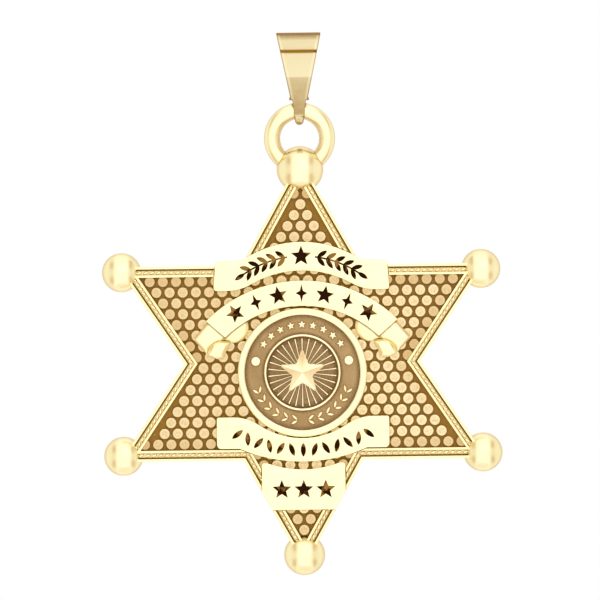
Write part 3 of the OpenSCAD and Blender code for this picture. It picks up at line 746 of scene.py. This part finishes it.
rope_gold = gold(
    "rope_gold", bright=(1.0, 0.88, 0.54), cloudy=(0.94, 0.77, 0.42),
    gloss=0.28, haze=0.5, grit=8000, dent=0.4, dark=(0.3, 0.16, 0.03), dull=0.6, clouds=2600,
)
strand_line = [(x * strand_len / 2, z * strand_w / 2) for x, z in circle_line(0, 0, 1, 10)]
strand_rings = [(1.0, -0.02, 1), (0.95, 0.04, 0.2), (0.74, 0.075, 0), (0.35, strand_h - 0.005, 0)]
strand_stamp = raised_stamp("strand", strand_line, strand_rings)

# The strands stop at the tip balls.
top_ball_z, top_ball_r = star_h / 2 - 0.65, 1.49
bottom_ball_z, bottom_ball_r = 0.7 - star_h / 2, 1.31
side_ball_x, side_ball_z, side_ball_r = star_w / 2 - 0.21, edge_h / 2 - 0.35, 1.25
tip_balls = [(0, top_ball_z, top_ball_r), (0, bottom_ball_z, bottom_ball_r)]
for level in (1, -1):
    tip_balls += [(side * side_ball_x, level * side_ball_z, side_ball_r) for side in (1, -1)]
strand_places = []
for a, b in sides_of(star_corners(rope_inset)):
    along = b - a
    pitch = level_pitch if abs(along.y) < 0.01 else slant_pitch
    count = round(along.length / pitch)
    turn = math.atan2(along.y, along.x)
    for k in range(count):
        spot = a + along * ((k + 0.5) / count)
        in_ball = any(math.dist(spot, (x, z)) < r - 0.45 for x, z, r in tip_balls)
        if not in_ball and not covered(spot.x, spot.y, 0.15):
            strand_places.append((spot.x, rope_bed_y, spot.y, turn + strand_lean, 0))
rope = set_out("roped_band", strand_places, strand_stamp, rope_gold, smallest=0.94, largest=1.0, seed=11)
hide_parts("star_plate")
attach(rope, "star")

# ----------------------------------------
# The tip balls and the hanging ring: six balls cast on the points, flat behind like the plate, and
# a ring of round wire soldered into the top ball. Both are polished bright.


def turned(shape, profile, x, z, steps):
    """A round part turned about a line from front to back, from (radius, depth) pairs, 0 being a pole."""
    rows = []
    for r, depth in profile:
        if r == 0:
            rows.append([shape.verts.new((x * mm, depth * mm, (z + star_z) * mm))])
        else:
            rows.append(row_of(shape, circle_line(x, z, r, steps), depth))
    for row, following in zip(rows, rows[1:]):
        if len(row) == len(following):
            join_rows(shape, row, following)
        else:
            pole, ring = (row[0], following) if len(row) == 1 else (following[0], row)
            fan(shape, ring, pole)
    return rows


polished_gold = gold(
    "polished_gold", bright=(0.88, 0.79, 0.5), cloudy=(0.86, 0.76, 0.465),
    gloss=0.21, haze=0.27, grit=5200, dent=0.06, dark=(0.48, 0.2, 0.01), dull=0.35, uneven=0.12,
)

ball_y, ball_back_y = 0.16, back_y - 0.01
ring_r, ring_wire_r, ring_sunk = 1.76, 0.515, 1.27
ring_z = top_ball_z + top_ball_r - ring_sunk + ring_r

ball_shape = bmesh.new()
for x, z, r in tip_balls:
    wall = math.acos((back_y - 0.05 - ball_y) / r)
    profile = [(0, ball_y - r)]
    profile += [
        (r * math.sin(t), ball_y - r * math.cos(t))
        for t in (k / 22 * (math.pi - wall) for k in range(1, 23))
    ]
    foot = profile[-1][0]
    profile += [(foot - 0.02, back_y - 0.025), (foot - 0.06, ball_back_y), (0, ball_back_y)]
    turned(ball_shape, profile, x, z, 56)
balls = finished("tip_balls", ball_shape, polished_gold)
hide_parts("star_plate")
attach(balls, "star")

# A thin dark seam marks the solder between the ring and the ball, and painted shade darkens the ring
# on the inner side of its wire.
ring_shape = bmesh.new()
seam_and_shade = ring_shape.verts.layers.float.new("tarnish_and_shade")
rows = []
around, about_wire = 200, 32
for k in range(around):
    t = 2 * math.pi * k / around
    row = []
    for n in range(about_wire):
        s = 2 * math.pi * n / about_wire
        r = ring_r + ring_wire_r * math.cos(s)
        x, y, z = r * math.cos(t), ring_wire_r * math.sin(s), ring_z + r * math.sin(t)
        v = ring_shape.verts.new((x * mm, y * mm, (z + star_z) * mm))
        clear = math.dist((x, y, z), (0, ball_y, top_ball_z)) - top_ball_r
        v[seam_and_shade] = max(0.75 * min(1, 1.1 - clear / 0.06), 0.32 * min(1, (-math.cos(s) - 0.45) / 0.4), 0)
        row.append(v)
    rows.append(row)
join_rows(ring_shape, *rows, rows[0])
ring = finished("hanging_ring", ring_shape, polished_gold)
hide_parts("star_plate")
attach(ring, "star")

# ----------------------------------------
# The upper banner: a curved plate of pale gold across the top point, flat-polished, with a star and
# two laurel sprays engraved in its face and filled dark. Two pegs hold it in the star.

banner_front, banner_edge = -1.1, 0.04
bed_y = field_y - 0.02
peg_r, peg_head_y = 0.4, field_y - 0.1
engrave, filling_h, filling_lap, filling_edge = 0.13, 0.12, 0.012, 0.004

banner_gold = gold(
    "banner_gold", bright=(0.96, 0.84, 0.5), cloudy=(0.94, 0.82, 0.48),
    gloss=0.1, haze=0.17, grit=3800, dent=0.03, dark=(0.2, 0.12, 0.04), dull=0.3, uneven=0.15,
)

# The filling is a hard dark enamel, with brown patches where it is worn thin.
dark_fill, tree, enamel = new_finish("dark_fill")
wear = noise(tree, 1300, 3)
worn = blend(tree, stretched(tree, wear, 0.49, 0.58), (0.02, 0.005, 0.001), (0.3, 0.155, 0.04))
tree.links.new(worn, enamel.inputs["Base Color"])
tree.links.new(stretched(tree, wear, 0, 1, 0.4, 0.7), enamel.inputs["Roughness"])
enamel.inputs["Specular IOR Level"].default_value = 0.02


def plate_solid(shape, outlines, front, back, edge, steps=3, slot=0):
    """A flat plate between two depths, rounded in front, with holes where its outlines run clockwise."""
    behind, before = [], []
    first = len(shape.faces)
    for outline in outlines:
        row = row_of(shape, outline, back)
        behind.append(row)
        round_w = -room_for(outline, -edge)
        for k in range(steps + 1):
            t = math.radians(90 * k / steps)
            inwards = round_w * (1 - math.cos(t))
            following = row_of(shape, grown(outline, -inwards), front + edge * (1 - math.sin(t)))
            join_rows(shape, row, following)
            row = following
        before.append(row)
    close_rows(shape, behind)
    close_rows(shape, before)
    shape.faces.ensure_lookup_table()
    for face in shape.faces[first:]:
        face.material_index = slot


def eased(outline, r):
    """An outline with its sharp corners rounded."""
    points = [Vector(p) for p in outline]
    soft = []
    for before, here, after in zip(points[-1:] + points[:-1], points, points[1:] + points[:1]):
        a, b = before - here, after - here
        half = a.angle(b) / 2
        reach = r / math.tan(half) if half > 0.01 else 9
        if half > math.radians(62) or reach > 0.45 * min(a.length, b.length):
            soft.append(tuple(here))
            continue
        a.normalize()
        b.normalize()
        middle = here + (a + b).normalized() * (r / math.sin(half))
        first = here + a * reach - middle
        turn = math.copysign(math.pi - 2 * half, a.x * b.y - a.y * b.x) * -1
        for k in range(5):
            t = turn * k / 4
            soft.append((
                middle.x + first.x * math.cos(t) - first.y * math.sin(t),
                middle.y + first.x * math.sin(t) + first.y * math.cos(t),
            ))
    return soft


def add_pegs(shape, node):
    """The two pegs that hold an applied piece, flush with the star's back."""
    for x, z in peg_places(node):
        turned(
            shape,
            [(0, peg_head_y), (peg_r, peg_head_y), (peg_r, back_y - 0.04),
             (peg_r - 0.012, back_y - 0.012), (peg_r - 0.04, back_y), (0, back_y)],
            x, z, 32,
        )


def engraved_plate(node, front, edge, corner=0.0):
    """An applied plate with its engraving, filling and pegs."""
    shape = bmesh.new()
    outlines = face_outlines(node, front)
    if corner:
        outlines[0] = eased(outlines[0], corner)
    plate_solid(shape, outlines, front, bed_y, edge)
    floor_y = front + engrave
    for hole in outlines[1:]:
        hole = list(reversed(hole))
        filling = grown(hole, room_for(hole, filling_lap))
        plate_solid(shape, [filling], floor_y, floor_y + filling_h, filling_edge, steps=1, slot=1)
    add_pegs(shape, node)
    return shape


shape = engraved_plate("upper_banner", banner_front, banner_edge, 0.18)
upper = finished("upper_banner_plate", shape, banner_gold, dark_fill)
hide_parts("upper_banner")
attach(upper, "star")

# ----------------------------------------
# The middle banner: a ribbon arched over the seal, with stars and lozenges engraved by turns. Its
# tails fold back under the cut ends, roll up at their feet, and return behind the inner edge.


def gap_to(x, z, sides):
    """How far a place is from the nearest of some straight sides."""
    here, nearest = Vector((x, z)), 9
    for a, b in sides:
        a, b = Vector(a), Vector(b)
        along = b - a
        share = min(1, max(0, (here - a).dot(along) / max(along.length_squared, 1e-12)))
        nearest = min(nearest, (here - a - along * share).length)
    return nearest


def fold_of(shape, outline, top, drop, soft, tones, hidden):
    """One fold of the ribbon, swelling from its free edges, with painted shade along them and a painted
    shadow where it runs in under the banner.
    """
    step, cut_shadow_w = 0.055, 0.11
    mark = shape.verts.layers.float.get("tarnish_and_shade") or shape.verts.layers.float.new("tarnish_and_shade")
    sides = sides_of(outline)
    free = [(a, b) for a, b in sides if gap_to((a[0] + b[0]) / 2, (a[1] + b[1]) / 2, hidden) > 0.03]
    line = []
    for (ax, az), (bx, bz) in sides:
        pieces = max(1, round(math.hypot(bx - ax, bz - az) / step))
        line += [(ax + (bx - ax) * k / pieces, az + (bz - az) * k / pieces) for k in range(pieces)]
    behind = row_of(shape, line, bed_y)
    before = row_of(shape, line, top)
    join_rows(shape, behind, before)
    close_rows(shape, [behind])
    left, low = min(x for x, z in line), min(z for x, z in line)
    across, upwards = max(x for x, z in line) - left, max(z for x, z in line) - low
    places = [
        (left + step * (i + 0.5 * (j % 2)), low + step * 0.87 * j)
        for j in range(1, int(upwards / step / 0.87) + 1) for i in range(1, int(across / step) + 1)
    ]
    places = [p for p in places if inside(*p, outline) and gap_to(*p, sides) > 0.45 * step]
    between = row_of(shape, places, top)
    close_rows(shape, [before], between)
    for v, (x, z) in zip(before + between, line + places):
        rise = min(1, gap_to(x, z, free) / soft)
        v.co.y = (top + drop * (1 - rise) ** 2) * mm
        # Painted shade near the free edges, and a painted shadow along the banner's cut end.
        at_edge = tones[1] + (tones[0] - tones[1]) * max(0, 1 - rise * 3)
        v[mark] = max(at_edge, min(1, 1.15 - gap_to(x, z, hidden) / cut_shadow_w))


shape = engraved_plate("middle_banner", banner_front, banner_edge)
hidden = sides_of(face_outlines("middle_banner", banner_front)[0])

# Each fold's front, how far its edges fall back and over what width, and how much painted shade its edge and
# face get.
folds = [
    (-0.84, 0.16, 0.36, (0.16, 0.02)), (-0.94, 0.2, 0.36, (0.3, 0.04)), (-0.72, 0.14, 0.34, (0.4, 0.14)),
]
for depth, drop, soft, tones in folds:
    for line in face_outlines("middle_banner", depth):
        if turns_left(line) and max(math.dist(p, line[0]) for p in line) > 0.5:
            fold_of(shape, line, depth, drop, soft, tones, hidden)
middle = finished("middle_banner_ribbon", shape, banner_gold, dark_fill)
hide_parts("middle_banner")
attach(middle, "star")

# ----------------------------------------
# The lower banner: a plate that smiles under the seal, with a row of leaves engraved along it.

shape = engraved_plate("lower_banner", banner_front, banner_edge, 0.28)
lower = finished("lower_banner_plate", shape, banner_gold, dark_fill)
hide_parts("lower_banner")
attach(lower, "star")

# ----------------------------------------
# The number plate: a small shield-like plate on the bottom point, cut to the star's own edge below
# and hollowed above. Three stars are engraved across its face.

shape = engraved_plate("number_plate", banner_front, banner_edge)
number = finished("number_plate_face", shape, banner_gold, dark_fill)
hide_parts("number_plate")
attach(number, "star")

# ----------------------------------------
# The seal: a round medallion struck on its own, with a smooth bright rim, a matt browned ground and
# a thin inner ring. Its relief stands up bright from the ground, where wiping has cleaned it.

seal_z = -0.63
seal_r, seal_rim_w = 4.12, 0.45
seal_rim_y, ground_y = -1.04, -0.66
inner_r, inner_w, inner_h = 2.45, 0.16, 0.2
relief_h = 0.2

seal_gold = gold(
    "seal_gold", bright=(1.0, 0.86, 0.57), cloudy=(0.96, 0.8, 0.5),
    gloss=0.2, haze=0.34, grit=6000, dent=0.12, dark=(0.2, 0.1, 0.035), dull=0.5,
)
seal_ground = gold(
    "seal_ground", bright=(0.46, 0.31, 0.145), cloudy=(0.36, 0.23, 0.1),
    gloss=0.5, haze=0.66, grit=9000, dent=0.3, dark=(0.12, 0.065, 0.025), dull=0.6, clouds=520,
)

seal_shape = bmesh.new()
mark = seal_shape.verts.layers.float.new("tarnish_and_shade")
rim_in, ring_in = seal_r - seal_rim_w, inner_r - inner_w
band_r = (rim_in + inner_r) / 2
crown, half_w = 0.1, seal_rim_w / 2
rim_profile = [(0, bed_y), (seal_r, bed_y), (seal_r, seal_rim_y + crown)]
for t in (15, 35, 55, 72, 90, 108, 125, 145, 165, 180):
    t = math.radians(t)
    rim_profile.append((seal_r - half_w + half_w * math.cos(t), seal_rim_y + crown - crown * math.sin(t)))
wall_rows = len(rim_profile)
rim_profile.append((rim_in, ground_y - 0.02))
ground_radii = (rim_in - 0.03, rim_in - 0.3, inner_r + 0.2, inner_r, ring_in - 0.02, ring_in - 0.35, 0)
rim_profile += [(r, ground_y) for r in ground_radii]
rows = turned(seal_shape, rim_profile, 0, seal_z, 144)
# Painted shade darkens the ground beside the rim and on both sides of the inner ring; inside the ring the
# ground stays darker than in the band.
for row, level in zip(rows[wall_rows:], (0.65, 0.65, 0.05, 0.05, 0.75, 0.9, 0.45, 0.5)):
    for v in row:
        v[mark] = level
for face in seal_shape.faces:
    spot = face.calc_center_median() / mm
    from_middle = math.hypot(spot.x, spot.z - star_z - seal_z)
    if ground_y - 0.015 < spot.y < ground_y + 0.01 and from_middle < rim_in:
        face.material_index = 1
    elif spot.y < ground_y - 0.02:
        face.material_index = 2

# The thin inner ring, and the two studs beside it.
r = inner_w / 2
ring_foot_y = ground_y + 0.02
ring_profile = [(inner_r, ring_foot_y)]
for t in range(0, 181, 30):
    t = math.radians(t)
    ring_profile.append((inner_r - r + r * math.cos(t), ground_y - inner_h + r - r * math.sin(t)))
ring_profile.append((ring_in, ring_foot_y))
rows = turned(seal_shape, ring_profile, 0, seal_z, 112)
join_rows(seal_shape, rows[-1], rows[0])
stud_up, stud_r, stud_h = 0.74, 0.31, 0.2
stud = [(0, ring_foot_y), (stud_r, ring_foot_y), (stud_r, ground_y - 0.08)]
stud += [(stud_r - 0.04, ground_y - 0.155), (stud_r - 0.14, ground_y - 0.19), (0, ground_y - stud_h)]
for side in (-1, 1):
    turned(seal_shape, stud, side * math.sqrt(band_r ** 2 - stud_up ** 2), seal_z + stud_up, 28)


def star_line(outer, inner):
    """A five-point star as an outline, one point up."""
    return [
        (r * math.sin(math.radians(36 * k)), r * math.cos(math.radians(36 * k)))
        for k, r in enumerate([outer, inner] * 5)
    ]


# The faceted star in the middle, each point with two bright slopes.
middle_star_r, middle_star_h = 1.62, 0.4
peak = seal_shape.verts.new((0, (ground_y - middle_star_h) * mm, (seal_z + star_z) * mm))
star_rim = row_of(
    seal_shape, [(x, seal_z + z) for x, z in star_line(middle_star_r, 0.42 * middle_star_r)], ground_y + 0.01,
)
fan(seal_shape, star_rim, peak)
seal_shape.faces.new(star_rim)
add_pegs(seal_shape, "seal")
seal = finished("seal_medallion", seal_shape, seal_gold, seal_ground, polished_gold)
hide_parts("seal")
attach(seal, "star")



def on_band(t, turn):
    """A place on the middle line of the seal's band, t from its top."""
    return -band_r * math.sin(t), ground_y, seal_z + band_r * math.cos(t), turn, 0


# The raised stars along the top of the band.
star_rings = [(1.0, -0.02, 0.8), (0.94, 0.13, 0), (0.6, 0.185, 0)]
star_stamp = raised_stamp("raised_star", star_line(0.33, 0.14), star_rings, peak=relief_h)
star_turns = [math.radians(-k * 120 / 9) for k in range(-4, 5)]
star_places = [on_band(t, t) for t in star_turns]
band_stars = set_out("seal_band_stars", star_places, star_stamp, seal_gold)
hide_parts("seal")
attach(band_stars, "star")

# The raised leaf pairs along the bottom of the band, which grow from the middle out to both sides.
leaf_len, leaf_w = 0.56, 0.2
leaf_r = (leaf_len ** 2 / 4 + leaf_w ** 2 / 4) / leaf_w
leaf_line = []
for sign in (1, -1):
    for k in range(6):
        x = leaf_len * k / 6
        x = x if sign == 1 else leaf_len - x
        bow = math.sqrt(leaf_r ** 2 - (x - leaf_len / 2) ** 2) - (leaf_r - leaf_w / 2)
        leaf_line.append((x, -sign * bow))
leaf_rings = [(1.0, -0.02, 0.8), (0.95, 0.11, 0), (0.6, 0.17, 0)]
leaf_stamp = raised_stamp("raised_leaf", leaf_line, leaf_rings, middle=leaf_len / 2, peak=relief_h - 0.01)
leaf_places = []
for n in range(12):
    k = n - 5.5
    t = math.radians(180 + k * 140 / 12)
    lean = math.radians(35 if k < 0 else 145)
    leaf_places += [on_band(t, t + lean), on_band(t, t - lean)]
band_leaves = set_out("seal_band_leaves", leaf_places, leaf_stamp, seal_gold)
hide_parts("seal")
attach(band_leaves, "star")

# Narrow rays round the faceted star.
ray_stamp = bmesh.new()
dark = ray_stamp.verts.layers.float.new("tarnish_and_shade")
ray_in, ray_out = 0.5, ring_in - 0.08
foot_line = [(ray_in, 0.02), (ray_in, -0.02), (ray_out, -0.09), (ray_out, 0.09)]
foot = [ray_stamp.verts.new((x * mm, 0.02 * mm, z * mm)) for x, z in foot_line]
crest_in, crest_out = ray_in + 0.05, ray_out - 0.04
crest_line = [
    (crest_in, 0.008, 0.05), (crest_in, -0.008, 0.05), (crest_out, -0.035, 0.1), (crest_out, 0.035, 0.1),
]
crest = [ray_stamp.verts.new((x * mm, -h * mm, z * mm)) for x, z, h in crest_line]
for v in foot:
    v[dark] = 0.8
for v in crest:
    v[dark] = 0.15
join_rows(ray_stamp, foot, crest)
ray_stamp.faces.new(crest)
ray_stamp.faces.new(list(reversed(foot)))
ray_places = [(0, ground_y, seal_z, math.radians(90 + 12 * k), 0) for k in range(30)]
rays = set_out("seal_rays", ray_places, finished("ray", ray_stamp), seal_gold)
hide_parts("seal")
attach(rays, "star")

# ----------------------------------------
# The stage: a pale floor well below the hanging star, a white studio with one tall soft panel in
# front and warm screens beside it, and a long lens at the height of the star's upper half.

floor_mesh = bpy.data.meshes.new("floor")
reach, floor_z = 0.12, -0.3
floor_corners = [(x * reach, y * reach, floor_z) for x, y in ((-1, -1), (1, -1), (1, 1), (-1, 1))]
floor_mesh.from_pydata(floor_corners, [], [(0, 1, 2, 3)])
floor = placed("floor", floor_mesh)
pale, _, paint = new_finish("pale_floor")
paint.inputs["Base Color"].default_value = (0.95, 0.945, 0.94, 1)
paint.inputs["Roughness"].default_value = 0.8
floor_mesh.materials.append(pale)

scene = bpy.context.scene
studio = bpy.data.worlds.new("studio")
scene.world = studio
studio.use_nodes = True
nodes, links = studio.node_tree.nodes, studio.node_tree.links
nodes.clear()
towards = nodes.new("ShaderNodeTexCoord")
parts = nodes.new("ShaderNodeSeparateXYZ")
links.new(towards.outputs["Generated"], parts.inputs["Vector"])


def figure(operation, a, b=None):
    """A sum on the studio's directions."""
    node = nodes.new("ShaderNodeMath")
    node.operation = operation
    for socket, value in zip(node.inputs, (a, b)):
        if isinstance(value, (int, float)):
            socket.default_value = value
        elif value is not None:
            links.new(value, socket)
    return node.outputs["Value"]


def ramp(value, low, high, at_low, at_high):
    """A soft step from one brightness to another."""
    return stretched(studio.node_tree, value, low, high, at_low, at_high, "SMOOTHSTEP")


# Where each direction shows on a mirror ball seen from the front: across and upright, from 0 to 1.
spread = figure("SQRT", figure("MULTIPLY", figure("SUBTRACT", 1, parts.outputs["Y"]), 2))
across = figure("ABSOLUTE", figure("DIVIDE", parts.outputs["X"], spread))
upright = figure("ABSOLUTE", figure("DIVIDE", parts.outputs["Z"], spread))
edge = figure("SQRT", figure("ADD", figure("MULTIPLY", across, across), figure("MULTIPLY", upright, upright)))
panel = figure("MULTIPLY", ramp(across, 0.22, 0.46, 1, 0), ramp(upright, 0.5, 0.8, 1, 0.5))
screens = figure("MULTIPLY", ramp(across, 0.34, 0.46, 0, 1), ramp(across, 0.48, 0.66, 1, 0))
smudges = figure("MULTIPLY", ramp(upright, 0.1, 0.32, 0.25, 1), ramp(upright, 0.42, 0.66, 1, 0.1))
behind = ramp(edge, 0.84, 0.99, 0, 1)
light = figure("ADD", 1.12, figure("MULTIPLY", panel, 0.28))
screened = figure("MULTIPLY", figure("MULTIPLY", screens, smudges), 0.95)
low = figure("MAXIMUM", screened, figure("MULTIPLY", behind, 0.75))
walls = blend(studio.node_tree, panel, (1.0, 0.99, 0.9), (1.0, 1.0, 1.0))
hue = blend(studio.node_tree, low, walls, (0.7, 0.52, 0.34))
glow = nodes.new("ShaderNodeBackground")
links.new(hue, glow.inputs["Color"])
links.new(light, glow.inputs["Strength"])
white = nodes.new("ShaderNodeBackground")
white.inputs["Color"].default_value = (1, 1, 1, 1)
seen = nodes.new("ShaderNodeLightPath")
both = nodes.new("ShaderNodeMixShader")
links.new(seen.outputs["Is Camera Ray"], both.inputs["Fac"])
links.new(glow.outputs["Background"], both.inputs[1])
links.new(white.outputs["Background"], both.inputs[2])
out = nodes.new("ShaderNodeOutputWorld")
links.new(both.outputs["Shader"], out.inputs["Surface"])

key = bpy.data.lights.new("key", "AREA")
key.shape = "RECTANGLE"
key.size, key.size_y = 0.5, 0.5
key.energy = 0.12
key_lamp = placed("key", key)
key_lamp.location = (0.2, -0.55, 0.25)
key_lamp.rotation_euler = (Vector((0, 0, -0.018)) - key_lamp.location).to_track_quat("-Z", "Y").to_euler()

lens = bpy.data.cameras.new("camera")
distance, seen_w = 0.3, 0.0383
lens.sensor_width = 36
lens.lens = lens.sensor_width * distance / seen_w
lens.clip_start = 0.01
lens.clip_end = 10
camera = placed("camera", lens)
camera.location = (-0.000098, -distance - 0.0005, -0.01673)
camera.rotation_euler = (math.radians(90), math.radians(0.7), 0)
scene.camera = camera
scene.view_settings.view_transform = "Standard"
scene.view_settings.look = "None"
